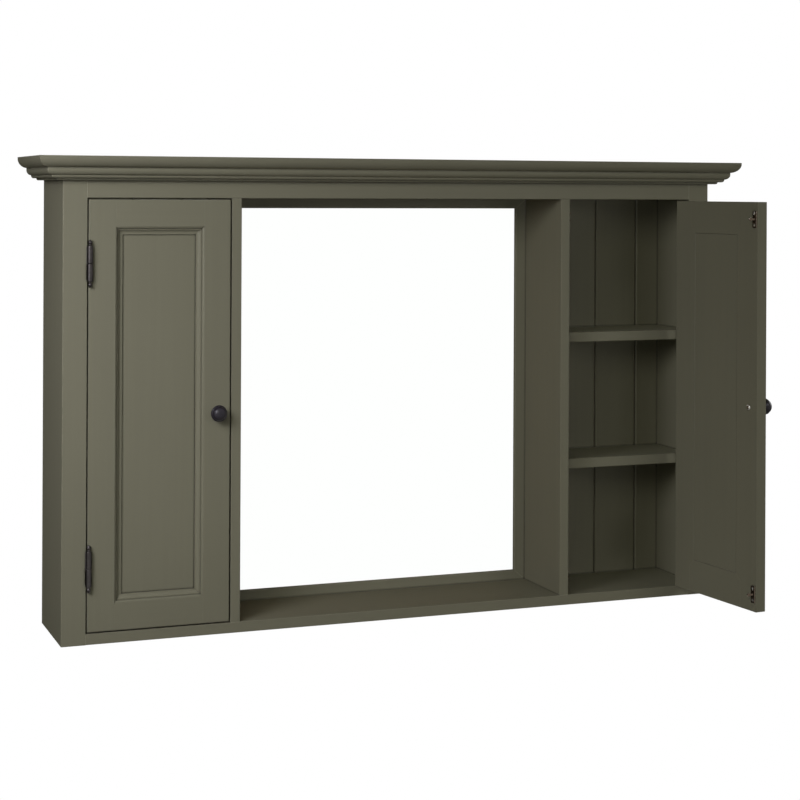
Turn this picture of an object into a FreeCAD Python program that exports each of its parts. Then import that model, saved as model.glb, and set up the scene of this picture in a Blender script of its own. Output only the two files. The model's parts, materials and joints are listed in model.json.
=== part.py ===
import FreeCAD, Part
import math
import os

from FreeCAD import Vector

# Wall-hung mirror cabinet in painted wood: moulded cornice, two panelled doors and an
# open middle bay with a mirror at its back. All sizes are in millimetres.
#
# Pieces are drawn in shop coordinates: x from the cabinet's middle, y from the front of
# the face frame towards the wall, z up from the underside. On export they move to the
# part's own frame, whose origin lies on the wall, midway between the two hanger holes.

# Carcass
body_width = 1200.0
body_depth = 180.0
body_height = 782.0
side_thickness = 18.0
bottom_thickness = 18.0
top_thickness = 18.0
partition_thickness = 17.0
arris = 1.2

# Face frame: two stiles and the frieze rail over the doors
stile_width = 40.0
frame_thickness = 20.0
frieze_height = 50.0
opening_width = 245.0

# Shelves, housed in the side panels and partitions
shelf_thickness = 18.0
shelf_setback = 34.0
upper_shelf_height = 489.0
lower_shelf_height = 258.0
housing_depth = 5.0

# Back: tongued boards with V joints, and the space behind them
wall_gap = 13.0
back_thickness = 9.0
back_rebate = 8.0
back_board_width = 86.0
vee_width = 3.0
tongue_thickness = 3.0
tongue_length = 5.0
tongue_play = 0.2
back_joint_gap = 0.5

# Mirror: glass and backing lap the back edges of the boards, bead strips stand in front
glass_thickness = 4.0
backing_thickness = 5.0
mirror_lap = 8.0
side_bead_width = 21.0
end_bead_width = 18.0
bead_thickness = 7.0
bead_round = 2.0

# Cornice: cap board, and bed moulding below it
cornice_overhang = 45.0
cap_thickness = 18.5
cap_fillet = 0.8
cap_ovolo = 14.5
bed_projection = 30.0
bed_fillet = 3.0
bed_ovolo_width = 8.0
bed_ovolo_height = 9.5
bed_neck = 1.0
bed_round_width = 4.5
bed_round_height = 4.0
bed_soffit = 4.5
bed_bead_width = 2.5
bed_bead_height = 3.5

# Wall hanging
hanger_spacing = 960.0
hanger_hole_radius = 4.5
hanger_plate_length = 60.0
hanger_plate_height = 30.0
hanger_plate_thickness = 2.0
hanger_screw_spacing = 42.0
hanger_pocket_radius = 8.0
rail_height = 80.0

# Doors
door_gap = 2.4
door_thickness = 20.0
door_rest_angle = 95.7
member_flat = 45.0
quirk_depth = 0.6
door_ovolo_width = 3.4
door_ovolo_depth = 4.4
door_fillet = 2.2
door_cove_width = 7.4
door_cove_depth = 3.6
door_toe = 2.6
back_chamfer = 0.8
groove_depth = 8.0
panel_tongue = 3.0
panel_tongue_setback = 15.0
panel_play = 0.4
panel_back_inset = 0.5

# Knob and its screw
knob_radius = 14.0
knob_projection = 26.0
knob_base_radius = 8.5
knob_base_height = 2.0
knob_neck_radius = 6.5
knob_neck_height = 7.0
knob_rim_height = 15.5
knob_rim_half = 2.4
knob_rim_round = 1.2
knob_from_edge = 23.0
knob_from_bottom = 352.0
knob_screw_radius = 2.0
knob_screw_grip = 11.0
knob_screw_head_radius = 4.0
knob_screw_head_height = 2.2
knob_screw_head_round = 1.3
screw_play = 0.05
screw_end_play = 0.5

# Hinges: one knuckle on the frame's leaf, one on the door's leaf, a finial at each end
hinge_from_end = 105.0
barrel_radius = 4.8
barrel_standoff = 0.4
knuckle_length = 28.5
knuckle_gap = 0.3
pin_radius = 2.5
pin_reach = 20.0
pin_seat_play = 0.02
pin_running_play = 0.05
pin_end_play = 0.5
collar_radius = 3.8
collar_height = 1.1
finial_neck_radius = 2.2
finial_neck_height = 3.3
finial_ball_radius = 3.6
finial_ball_height = 6.0
finial_crown_height = 8.8
finial_height = 11.0
leaf_thickness = 1.5
leaf_proud = 0.4
leaf_depth = 17.0
leaf_end_inset = 1.0
leaf_screw_spacing = 34.0

# Catches: a spear on the door between the sprung lips of a clip on the partition
catch_from_end = 30.0
strike_width = 10.0
strike_length = 29.0
strike_thickness = 1.5
strike_from_edge = 3.0
strike_screw_spacing = 20.0
spear_length = 12.5
spear_thickness = 2.0
spear_neck = 3.0
spear_head = 7.0
spear_head_length = 6.5
spear_barb = 2.0
clip_wall = 1.0
clip_width = 12.0
clip_depth = 17.0
clip_from_strike = 1.5
clip_half_height = 7.0
clip_lip_play = 0.5
clip_lip_depth = 3.0
clip_plate_thickness = 1.5
clip_plate_height = 40.0
clip_screw_spacing = 30.0

# Wood screws of the hinges, catches and hangers
screw_head_radius = 3.0
screw_head_height = 1.3
screw_shank_radius = 1.4
screw_length = 9.5

# Places that follow from the sizes above
half_width = body_width / 2
shelf_heights = {"upper": upper_shelf_height, "lower": lower_shelf_height}
opening_outer = half_width - stile_width
opening_inner = opening_outer - opening_width
bay_outer = half_width - side_thickness
centre_half = opening_inner - partition_thickness
opening_top = body_height - frieze_height
back_plane = body_depth - wall_gap - back_thickness
back_top = opening_top + top_thickness
rail_front = back_plane + back_thickness
tongue_front = back_plane + (back_thickness - tongue_thickness) / 2
tongue_back = tongue_front + tongue_thickness
rail_bottom = body_height - rail_height
hanger_height = body_height - rail_height / 2
hanger_places = (-hanger_spacing / 2, hanger_spacing / 2)
partition_middle = opening_inner - partition_thickness / 2

door_outer = opening_outer - door_gap
door_inner = opening_inner + door_gap
door_bottom = bottom_thickness + door_gap
door_top = opening_top - door_gap
member_width = member_flat + door_ovolo_width + door_fillet + door_cove_width
mould_depth = quirk_depth + door_ovolo_depth + door_cove_depth + door_toe
panel_back = door_thickness - panel_back_inset
knob_x = door_inner + knob_from_edge
knob_z = door_bottom + knob_from_bottom

hinge_x = opening_outer - leaf_proud + leaf_thickness - barrel_radius
hinge_y = -(barrel_radius + barrel_standoff)
hinge_heights = (door_bottom + hinge_from_end, door_top - hinge_from_end)
leaf_half_height = knuckle_gap / 2 + knuckle_length - leaf_end_inset

catch_heights = (door_bottom + catch_from_end, door_top - catch_from_end)
spear_x = door_inner + strike_from_edge + strike_width / 2
strike_back = door_thickness + strike_thickness
clip_front = strike_back + clip_from_strike
clip_back = clip_front + clip_depth

X = Vector(1, 0, 0)
Y = Vector(0, 1, 0)
Z = Vector(0, 0, 1)
DIAGONAL = math.sqrt(0.5)


def box(x0, x1, y0, y1, z0, z1):
    """A board between two corners."""
    return Part.makeBox(x1 - x0, y1 - y0, z1 - z0, Vector(x0, y0, z0))


def outline(points):
    """Closed wire through points; a point given as ("arc", via, end) adds an arc."""
    edges = []
    here = points[0]
    for step in list(points[1:]) + [points[0]]:
        if isinstance(step, tuple):
            end = step[2]
            edges.append(Part.Arc(here, step[1], end).toShape())
        else:
            end = step
            edges.append(Part.LineSegment(here, end).toShape())
        here = end
    return Part.Wire(edges)


def prism(points, along):
    """Solid made by moving a closed outline along a vector."""
    return Part.Face(outline(points)).extrude(along)


def turned(points, place, axis):
    """Solid made by turning an outline once round an axis."""
    return Part.Face(outline(points)).revolve(place, axis, 360)


def eased(solid, touches):
    """Round by the arris every edge whose two ends both satisfy the test."""
    edges = [e for e in solid.Edges if all(touches(v.Point) for v in e.Vertexes)]
    return solid.makeFillet(arris, edges)


def mirrored(solid):
    """The same piece on the other side of the cabinet."""
    return solid.mirror(Vector(0, 0, 0), X)


def near(a, b):
    return abs(a - b) < 1e-6


def turning_point(point, direction, radius, height):
    """A point at a radius and height on a turned piece whose axis has a direction."""
    side = Z.cross(direction) if abs(direction.z) < 0.5 else X
    return point + side * radius + direction * height


def wood_screw(head, inward, play=0.0):
    """Countersunk screw whose head's top centre lies at a point; play makes its hole."""
    rim = screw_head_radius + play
    shank = screw_shank_radius + play
    tip = screw_length + play
    stations = ((0, 0), (rim, 0), (shank, screw_head_height), (shank, tip), (0, tip))
    points = [turning_point(head, inward, r, h) for r, h in stations]
    return turned(points, head, inward)


def with_holes(solid, screws):
    """The piece with the seat of each screw, given as (head, inward), cut into it."""
    for head, inward in screws:
        solid = solid.cut(wood_screw(head, inward, screw_play))
    return solid


def shelf_box(height):
    """A shelf of the right bay, its ends reaching into their housings."""
    return box(opening_inner - housing_depth, bay_outer + housing_depth, shelf_setback, back_plane,
               height - shelf_thickness, height)


def leaf_screws():
    """Screws of the right hinge leaves: through the frame's leaf, then the door's."""
    middle = leaf_depth / 2
    heights = [z + side * leaf_screw_spacing / 2 for z in hinge_heights for side in (-1, 1)]
    frame = [(Vector(opening_outer - leaf_proud, middle, z), X) for z in heights]
    door = [(Vector(door_outer + leaf_proud, middle, z), -X) for z in heights]
    return frame, door


def strike_screws():
    """Screws of the right door's strikes."""
    return [(Vector(spear_x, strike_back, z + side * strike_screw_spacing / 2), -Y)
            for z in catch_heights for side in (-1, 1)]


def clip_screws():
    """Screws of the catches on the right partition."""
    head_x = opening_inner + clip_plate_thickness
    middle = (clip_front + clip_back) / 2
    return [(Vector(head_x, middle, z + side * clip_screw_spacing / 2), -X)
            for z in catch_heights for side in (-1, 1)]


def hanger_screws():
    """Screws of both hanger plates."""
    return [(Vector(x + side * hanger_screw_spacing / 2, body_depth, hanger_height), -Y)
            for x in hanger_places for side in (-1, 1)]


def side_panel():
    """Right side panel, behind the face stile."""
    panel = box(bay_outer, half_width, frame_thickness, body_depth, 0, body_height)
    panel = panel.cut(box(bay_outer, bay_outer + back_rebate, back_plane, body_depth, 0, body_height))
    for height in shelf_heights.values():
        panel = panel.cut(shelf_box(height))
    return panel


def bottom_board():
    """Bottom of all three bays, notched round the face stiles."""
    plan = [Vector(-opening_outer, 0, 0), Vector(opening_outer, 0, 0),
            Vector(opening_outer, frame_thickness, 0), Vector(bay_outer, frame_thickness, 0),
            Vector(bay_outer, back_plane, 0), Vector(-bay_outer, back_plane, 0),
            Vector(-bay_outer, frame_thickness, 0), Vector(-opening_outer, frame_thickness, 0)]
    board = prism(plan, Z * bottom_thickness)
    return eased(board, lambda p: near(p.y, 0) and near(abs(p.x), opening_outer) and near(p.z, 0))


def top_board():
    """Ceiling of the three bays, behind the frieze rail."""
    return box(-bay_outer, bay_outer, frame_thickness, back_plane, opening_top, back_top)


def partition():
    """Right partition, its front edge flush with the face frame."""
    board = box(centre_half, opening_inner, 0, back_plane, bottom_thickness, opening_top)
    board = eased(board, lambda p: near(p.y, 0) and near(p.x, centre_half))
    for height in shelf_heights.values():
        board = board.cut(shelf_box(height))
    return with_holes(board, clip_screws())


def hinge_leaf_plate(gap_face, into_wood, own_knuckle):
    """Leaf of the right hinges: a plate in the door joint with a tab to its knuckle."""
    edges = sorted((gap_face, gap_face + into_wood * leaf_thickness))
    plates = []
    for middle in hinge_heights:
        plate = box(*edges, 0, leaf_depth, middle - leaf_half_height, middle + leaf_half_height)
        ends = sorted((middle + own_knuckle * knuckle_gap / 2,
                       middle + own_knuckle * (knuckle_gap / 2 + knuckle_length)))
        plates.append(plate.fuse(box(*edges, hinge_y, 0, *ends)))
    return plates


def knuckle(middle, own):
    """Barrel of one hinge half with its finial; own is 1 above the joint and -1 below."""
    start = Vector(hinge_x, hinge_y, middle + own * knuckle_gap / 2)
    up = Z * own

    def at(radius, height):
        return turning_point(start, up, radius, height)

    top = knuckle_length
    ball = at(finial_ball_radius, top + finial_ball_height)
    profile = [at(0, 0), at(barrel_radius, 0), at(barrel_radius, top),
               at(collar_radius, top + collar_height), at(finial_neck_radius, top + finial_neck_height),
               ("arc", ball, at(finial_neck_radius, top + finial_crown_height)), at(0, top + finial_height)]
    return turned(profile, start, up)


def hinge_half(plates, own, bore):
    """Leaves and knuckles of one side of the right hinges, bored for the pin."""
    halves = []
    for middle, plate in zip(hinge_heights, plates):
        half = plate.fuse(knuckle(middle, own)).removeSplitter()
        start = Vector(hinge_x, hinge_y, middle + own * knuckle_gap / 2)
        depth = pin_reach - knuckle_gap / 2
        depth += pin_end_play if own > 0 else 0
        halves.append(half.cut(Part.makeCylinder(bore, depth, start, Z * own)))
    return halves


def frame_leaves():
    """Fixed hinge halves of the right door opening."""
    plates = hinge_leaf_plate(opening_outer - leaf_proud, 1, -1)
    halves = hinge_half(plates, -1, pin_radius + pin_seat_play)
    screws = leaf_screws()[0]
    return [with_holes(half, screws) for half in halves]


def door_leaves():
    """Hinge halves of the right door."""
    plates = hinge_leaf_plate(door_outer + leaf_proud, -1, 1)
    halves = hinge_half(plates, 1, pin_radius + pin_running_play)
    screws = leaf_screws()[1]
    return [with_holes(half, screws) for half in halves]


def hinge_pins():
    """Pins of the right hinges, standing in the fixed knuckles."""
    return [Part.makeCylinder(pin_radius, 2 * pin_reach, Vector(hinge_x, hinge_y, z - pin_reach), Z)
            for z in hinge_heights]


def leaf_mortises(gap_face, into_wood):
    """Shallow seats of the right hinge leaves in the edge of a stile."""
    edges = sorted((gap_face, gap_face + into_wood * leaf_thickness))
    return [box(*edges, hinge_y, leaf_depth, z - leaf_half_height, z + leaf_half_height)
            for z in hinge_heights]


def face_stile():
    """Right face stile with the seats of the hinge leaves."""
    stile = box(opening_outer, half_width, 0, frame_thickness, 0, body_height)
    stile = eased(stile, lambda p: near(p.y, 0) and near(p.x, half_width))
    for seat in leaf_mortises(opening_outer - leaf_proud, 1):
        stile = stile.cut(seat)
    return with_holes(stile, leaf_screws()[0])


def frieze_rail():
    """Rail between the face stiles; the bed moulding covers its upper part."""
    rail = box(-opening_outer, opening_outer, 0, frame_thickness, opening_top, body_height)
    return eased(rail, lambda p: near(p.y, 0) and near(p.z, opening_top))


def shelf(height):
    """Shelf of the right bay with eased front arrises."""
    return eased(shelf_box(height), lambda p: near(p.y, shelf_setback))


def back_board(left, right, grooved, tongued):
    """One board of the right bay's back, its edge bevelled where a neighbour meets it."""
    plan = [Vector(left, back_plane, 0)]
    if grooved:
        plan = [Vector(left, back_plane + vee_width, 0), Vector(left + vee_width, back_plane, 0)]
    if tongued:
        plan += [Vector(right - vee_width, back_plane, 0), Vector(right, back_plane + vee_width, 0)]
    else:
        plan.append(Vector(right, back_plane, 0))
    plan += [Vector(right, rail_front, 0), Vector(left, rail_front, 0)]
    board = prism(plan, Z * back_top)
    if tongued:
        board = board.fuse(box(right, right + tongue_length, tongue_front, tongue_back, 0, back_top))
    if grooved:
        board = board.cut(box(left, left + tongue_length + tongue_play, tongue_front - tongue_play,
                              tongue_back + tongue_play, 0, back_top))
    return board.removeSplitter()


def back_boards():
    """Boards of the right bay's back, from the partition to the side panel."""
    middle = (opening_inner + bay_outer) / 2
    joints = [middle - back_board_width, middle, middle + back_board_width]
    edges = [partition_middle] + joints + [bay_outer + back_rebate]
    return [back_board(left, right, left in joints, right in joints)
            for left, right in zip(edges[:-1], edges[1:])]


def mirror_sheet(front, thickness):
    """Sheet of the mirror pack, lapping the back edges of the boards round the middle bay."""
    side = centre_half + mirror_lap
    return box(-side, side, front, front + thickness,
               bottom_thickness - mirror_lap, opening_top + mirror_lap)


def bead_strip(corner, along, across, width, end_width):
    """Mirror bead along one side, its sight edge rounded and its ends mitred to their neighbours."""
    face = back_plane - bead_thickness
    run = along / along.Length
    start = corner + Y * face

    def at(reach, depth):
        return start + across * reach + Y * depth

    bend = at(width - bead_round + bead_round * DIAGONAL, bead_round * (1 - DIAGONAL))
    section = [at(0, 0), at(width - bead_round, 0), ("arc", bend, at(width, bead_round)),
               at(width, bead_thickness), at(0, bead_thickness)]
    mitres = [start, start + along, start + along + across * width - run * end_width,
              start + across * width + run * end_width]
    return prism(section, along).common(prism(mitres, Y * bead_thickness))


def mirror_beads():
    """The four strips round the mirror, by the side they run along."""
    low = Vector(-centre_half, 0, bottom_thickness)
    high = Vector(centre_half, 0, opening_top)
    length = X * (high.x - low.x)
    height = Z * (high.z - low.z)
    end = (end_bead_width, side_bead_width)
    side = (side_bead_width, end_bead_width)
    return {"bottom": bead_strip(low, length, Z, *end), "left": bead_strip(low, height, X, *side),
            "top": bead_strip(high, length * -1, Z * -1, *end),
            "right": bead_strip(high, height * -1, X * -1, *side)}


def cornice_cap():
    """Cap board: the same moulded edge on the front and on both ends."""
    reach = half_width + cornice_overhang
    top = body_height + cap_thickness
    flat_end = top - cap_fillet

    def edge(at):
        """Moulded edge; at gives the point at a distance in from the tip and a height."""
        middle = at(cap_ovolo * (1 - DIAGONAL), flat_end - (flat_end - body_height) * DIAGONAL)
        return [at(0, top), at(0, flat_end), ("arc", middle, at(cap_ovolo, body_height))]

    front = edge(lambda inward, z: Vector(-reach, inward - cornice_overhang, z))
    lengthwise = prism(front + [Vector(-reach, body_depth, body_height), Vector(-reach, body_depth, top)],
                       X * 2 * reach)
    ends = edge(lambda inward, z: Vector(-reach + inward, -cornice_overhang, z))
    right_end = [Vector(reach - cap_ovolo, -cornice_overhang, body_height),
                 ("arc", Vector(reach - cap_ovolo * (1 - DIAGONAL), -cornice_overhang,
                                flat_end - (flat_end - body_height) * DIAGONAL),
                  Vector(reach, -cornice_overhang, flat_end)),
                 Vector(reach, -cornice_overhang, top)]
    crosswise = prism(ends + right_end, Y * (body_depth + cornice_overhang))
    return lengthwise.common(crosswise)


def bed_section(at):
    """Bed moulding's outline: ovolo, small round and bead; at gives a projection and a height."""
    ovolo_top = body_height - bed_fillet
    ovolo_in = bed_projection - bed_ovolo_width
    neck_top = ovolo_top - bed_ovolo_height
    round_top = neck_top - bed_neck
    round_in = ovolo_in - bed_round_width
    bead_top = round_top - bed_round_height
    bead_out = round_in - bed_soffit
    base = bead_top - bed_bead_height

    def quarter(out, top, width, height):
        """Arc of a convex quarter below and inward of its outer top corner."""
        middle = at(out - width * (1 - DIAGONAL), top - height * DIAGONAL)
        return ("arc", middle, at(out - width, top - height))

    return [at(0, body_height), at(bed_projection, body_height), at(bed_projection, ovolo_top),
            quarter(bed_projection, ovolo_top, bed_ovolo_width, bed_ovolo_height), at(ovolo_in, round_top),
            quarter(ovolo_in, round_top, bed_round_width, bed_round_height), at(bead_out, bead_top),
            quarter(bead_out, bead_top, bed_bead_width, bed_bead_height), at(0, base)]


def cornice_bed():
    """Bed moulding: the front length, then the left and right returns, mitred together."""
    reach = half_width + bed_projection
    height = bed_fillet + bed_ovolo_height + bed_neck + bed_round_height + bed_bead_height
    base = body_height - height
    front = prism(bed_section(lambda out, z: Vector(-reach, -out, z)), X * 2 * reach)
    front_plan = [Vector(-half_width, 0, base), Vector(half_width, 0, base),
                  Vector(reach, -bed_projection, base), Vector(-reach, -bed_projection, base)]
    front = front.common(prism(front_plan, Z * height))
    right = prism(bed_section(lambda out, z: Vector(half_width + out, -bed_projection, z)),
                  Y * (bed_projection + body_depth))
    right_plan = [Vector(half_width, 0, base), Vector(reach, -bed_projection, base),
                  Vector(reach, body_depth, base), Vector(half_width, body_depth, base)]
    right = right.common(prism(right_plan, Z * height))
    return front, mirrored(right), right


def hanging_rail():
    """Rail against the wall, with the seats of the hanger plates."""
    end = bay_outer + back_rebate
    rail = box(-end, end, rail_front, body_depth, rail_bottom, body_height)
    for x in hanger_places:
        rail = rail.cut(hanger_blank(x))
        start = Vector(x, rail_front, hanger_height)
        rail = rail.cut(Part.makeCylinder(hanger_pocket_radius, wall_gap, start, Y))
    return with_holes(rail, hanger_screws())


def hanger_blank(x):
    """Hanger plate before its hole is drilled."""
    half_length = hanger_plate_length / 2
    half_height = hanger_plate_height / 2
    return box(x - half_length, x + half_length, body_depth - hanger_plate_thickness, body_depth,
               hanger_height - half_height, hanger_height + half_height)


def hanger_plates():
    """Two plates, each with a round hole for a wall hook."""
    plates = []
    for x in hanger_places:
        hole = Part.makeCylinder(hanger_hole_radius, body_depth, Vector(x, 0, hanger_height), Y)
        plates.append(with_holes(hanger_blank(x).cut(hole), hanger_screws()))
    return plates


def spring_clips():
    """Catches on the right partition: a sprung clip whose lips hold the spear."""
    lip = spear_head / 2 + clip_lip_play
    outer = clip_half_height
    inner = outer - clip_wall
    mouth = clip_front + clip_lip_depth
    start = opening_inner + clip_plate_thickness
    clips = []
    for z in catch_heights:
        upper = [(clip_back, outer), (mouth + clip_lip_depth, outer), (mouth, lip + clip_wall),
                 (clip_front, outer), (clip_front, inner), (mouth, lip), (mouth + clip_lip_depth, inner),
                 (clip_back - clip_wall, inner)]
        lower = [(y, -height) for y, height in reversed(upper)]
        clip = prism([Vector(start, y, z + height) for y, height in upper + lower], X * clip_width)
        plate = box(opening_inner, start, clip_front, clip_back,
                    z - clip_plate_height / 2, z + clip_plate_height / 2)
        clips.append(with_holes(plate.fuse(clip).removeSplitter(), clip_screws()))
    return clips


def door_blank():
    """Outside of the right door when closed, its front arrises eased."""
    blank = box(door_inner, door_outer, 0, door_thickness, door_bottom, door_top)
    return eased(blank, lambda p: near(p.y, 0))


def member_section(at):
    """Section of a door frame member; at gives the point at a width and a depth."""
    ovolo_end = member_flat + door_ovolo_width
    cove_start = ovolo_end + door_fillet
    shelf_depth = quirk_depth + door_ovolo_depth
    ovolo_middle = at(member_flat + door_ovolo_width * DIAGONAL, shelf_depth - door_ovolo_depth * DIAGONAL)
    cove_middle = at(member_width - door_cove_width * DIAGONAL, shelf_depth + door_cove_depth * DIAGONAL)
    groove_front = panel_tongue_setback - panel_play / 2
    groove_back = panel_tongue_setback + panel_tongue + panel_play / 2
    floor = member_width - groove_depth
    return [at(0, 0), at(member_flat, 0), at(member_flat, quirk_depth),
            ("arc", ovolo_middle, at(ovolo_end, shelf_depth)), at(cove_start, shelf_depth),
            ("arc", cove_middle, at(member_width, mould_depth - door_toe)), at(member_width, groove_front),
            at(floor, groove_front), at(floor, groove_back), at(member_width, groove_back),
            at(member_width, door_thickness - back_chamfer),
            at(member_width - back_chamfer, door_thickness), at(0, door_thickness)]


def door_stile(edge, inward):
    """Upright of the right door's frame, from an edge inwards (1 or -1 along x)."""
    section = member_section(lambda width, depth: Vector(edge + inward * width, depth, door_bottom))
    bar = prism(section, Z * (door_top - door_bottom))
    flat = edge + inward * member_flat
    sight = edge + inward * member_width
    shape = [Vector(edge, 0, door_bottom), Vector(flat, 0, door_bottom),
             Vector(flat, 0, door_bottom + member_flat), Vector(sight, 0, door_bottom + member_width),
             Vector(sight, 0, door_top - member_width), Vector(flat, 0, door_top - member_flat),
             Vector(flat, 0, door_top), Vector(edge, 0, door_top)]
    return bar.common(prism(shape, Y * door_thickness)).common(door_blank())


def door_rail(edge, inward):
    """Crosspiece of the right door's frame, from an edge inwards (1 or -1 along z)."""
    left = door_inner + member_flat
    right = door_outer - member_flat
    section = member_section(lambda width, depth: Vector(left, depth, edge + inward * width))
    bar = prism(section, X * (right - left))
    flat = edge + inward * member_flat
    sight = edge + inward * member_width
    shape = [Vector(left, 0, edge), Vector(right, 0, edge), Vector(right, 0, flat),
             Vector(door_outer - member_width, 0, sight), Vector(door_inner + member_width, 0, sight),
             Vector(left, 0, flat)]
    return bar.common(prism(shape, Y * door_thickness)).common(door_blank())


def door_panel():
    """Flat panel with a tongue all round, nearly flush at the door's back."""
    left = door_inner + member_width + panel_play
    right = door_outer - member_width - panel_play
    low = door_bottom + member_width + panel_play
    high = door_top - member_width - panel_play
    reach = groove_depth - panel_play
    field = box(left, right, mould_depth, panel_back, low, high)
    tongue = box(left - reach, right + reach, panel_tongue_setback, panel_tongue_setback + panel_tongue,
                 low - reach, high + reach)
    return field.fuse(tongue).removeSplitter()


def knob():
    """Turned knob on the right door's face, bored for its screw."""
    centre = Vector(knob_x, 0, knob_z)

    def at(radius, height):
        return turning_point(centre, Y * -1, radius, height)

    waist = (knob_base_height + knob_neck_height) / 2
    waist_radius = knob_neck_radius + (knob_base_radius - knob_neck_radius) * (1 - DIAGONAL)
    rim_radius = knob_radius - knob_rim_round
    rim_low = knob_rim_height - knob_rim_half
    rim_high = knob_rim_height + knob_rim_half
    swell_radius = knob_neck_radius + (rim_radius - knob_neck_radius) * DIAGONAL
    swell = rim_low - (rim_low - knob_neck_height) * DIAGONAL
    crown = knob_projection - rim_high
    dome_radius = (rim_radius ** 2 + crown ** 2) / (2 * crown)
    half_turn = math.asin(rim_radius / dome_radius) / 2
    dome_middle = at(dome_radius * math.sin(half_turn),
                     knob_projection - dome_radius * (1 - math.cos(half_turn)))
    profile = [at(0, 0), at(knob_base_radius, 0), at(knob_base_radius, knob_base_height),
               ("arc", at(waist_radius, waist), at(knob_neck_radius, knob_neck_height)),
               ("arc", at(swell_radius, swell), at(rim_radius, rim_low)),
               ("arc", at(knob_radius, knob_rim_height), at(rim_radius, rim_high)),
               ("arc", dome_middle, at(0, knob_projection))]
    bore = Part.makeCylinder(knob_screw_radius + screw_play, knob_screw_grip + screw_end_play,
                             centre, Y * -1)
    return turned(profile, centre, Y * -1).cut(bore)


def knob_screw():
    """Screw through the knob stile, its pan head on the door's back."""
    back = Vector(knob_x, door_thickness, knob_z)
    shank = Part.makeCylinder(knob_screw_radius, door_thickness + knob_screw_grip, back, Y * -1)
    head = Part.makeCylinder(knob_screw_head_radius, knob_screw_head_height, back, Y)
    crown = door_thickness + knob_screw_head_height
    rim = [e for e in head.Edges if all(near(v.Point.y, crown) for v in e.Vertexes)]
    head = head.makeFillet(knob_screw_head_round, rim)
    return shank.fuse(head).removeSplitter()


def catch_strikes():
    """Plates on the right door's back, each with a spear that enters its clip."""
    strikes = []
    for z in catch_heights:
        plate = box(spear_x - strike_width / 2, spear_x + strike_width / 2, door_thickness, strike_back,
                    z - strike_length / 2, z + strike_length / 2)
        shoulder = strike_back + spear_length - spear_head_length
        barb = shoulder + spear_barb
        tip = strike_back + spear_length
        upper = [(door_thickness, spear_neck / 2), (shoulder, spear_neck / 2), (barb, spear_head / 2)]
        lower = [(y, -height) for y, height in reversed(upper)]
        side = spear_x - spear_thickness / 2
        blade = [Vector(side, y, z + height) for y, height in upper + [(tip, 0)] + lower]
        strike = plate.fuse(prism(blade, X * spear_thickness)).removeSplitter()
        strikes.append(with_holes(strike, strike_screws()))
    return strikes


def door_pieces():
    """Pieces of the right door when closed, by their short names."""
    hinge_stile = door_stile(door_outer, -1)
    for seat in leaf_mortises(door_outer + leaf_proud, -1):
        hinge_stile = hinge_stile.cut(seat)
    knob_place = Vector(knob_x, 0, knob_z)
    knob_hole = Part.makeCylinder(knob_screw_radius + screw_play, door_thickness, knob_place, Y)
    knob_stile = door_stile(door_inner, 1).cut(knob_hole)
    screws = leaf_screws()[1] + strike_screws()
    return {"hinge_stile": with_holes(hinge_stile, leaf_screws()[1]),
            "knob_stile": with_holes(knob_stile, strike_screws()),
            "top_rail": door_rail(door_top, -1), "bottom_rail": door_rail(door_bottom, 1),
            "panel": door_panel(), "knob": knob(), "knob_screw": knob_screw(),
            "hinge_leaves": Part.makeCompound(door_leaves()), "strikes": Part.makeCompound(catch_strikes()),
            "screws": Part.makeCompound([wood_screw(*s) for s in screws])}


def both_sides(solids):
    """A group of right-hand solids together with their left-hand copies."""
    return Part.makeCompound([mirrored(s) for s in solids] + list(solids))


def cabinet_pieces():
    """Every piece that stays with the wall."""
    pieces = {"bottom_board": bottom_board(), "top_board": top_board(), "frieze_rail": frieze_rail(),
              "cornice_cap": cornice_cap(), "hanging_rail": hanging_rail(),
              "mirror_glass": mirror_sheet(back_plane, glass_thickness),
              "mirror_backing": mirror_sheet(back_plane + glass_thickness, backing_thickness),
              "hanger_plates": Part.makeCompound(hanger_plates()),
              "hinge_frame_leaves": both_sides(frame_leaves()), "hinge_pins": both_sides(hinge_pins()),
              "catch_clips": both_sides(spring_clips())}
    pieces["cornice_bed_front"], pieces["cornice_bed_left"], pieces["cornice_bed_right"] = cornice_bed()
    for side, strip in mirror_beads().items():
        pieces["mirror_bead_" + side] = strip
    handed = {"side_panel": side_panel(), "partition": partition(), "face_stile": face_stile()}
    for place, height in shelf_heights.items():
        handed["shelf_" + place] = shelf(height)
    for number, board in enumerate(back_boards(), start=1):
        handed["back_board_%d" % number] = board
    for name, solid in handed.items():
        pieces[name + "_right"] = solid
        pieces[name + "_left"] = mirrored(solid)
    sided = [wood_screw(*s) for s in leaf_screws()[0] + clip_screws()]
    hangers = [wood_screw(*s) for s in hanger_screws()]
    pieces["wood_screws"] = Part.makeCompound([mirrored(s) for s in sided] + sided + hangers)
    return pieces


def main():
    os.makedirs("parts", exist_ok=True)
    pieces = cabinet_pieces()
    for name, solid in door_pieces().items():
        pieces["left_door_" + name] = mirrored(solid)
        opened = solid.copy()
        opened.rotate(Vector(hinge_x, hinge_y, 0), Z, door_rest_angle)
        pieces["right_door_" + name] = opened
    for name, shape in sorted(pieces.items()):
        placed = shape.copy()
        placed.translate(Vector(0, -body_depth, -hanger_height))
        placed.exportStep(os.path.join("parts", name + ".step"))
    print("wrote", len(pieces), "pieces")
    print("hinge axis at x", round(hinge_x, 3), "y", round(hinge_y - body_depth, 3))


main()
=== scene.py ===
# %% [markdown]
# # Dressing a painted mirror cabinet
# The cabinet arrives as a set of exact solids: boards, mouldings, two panelled doors, glass
# and ironwork. This lesson leaves those solids where they are and gives each one the finish
# that it has on the real cabinet. It models again, by hand, the few small pieces that need
# more shape than the solids have. The camera comes first and a plain studio last.

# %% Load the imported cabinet
import json
import math

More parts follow.
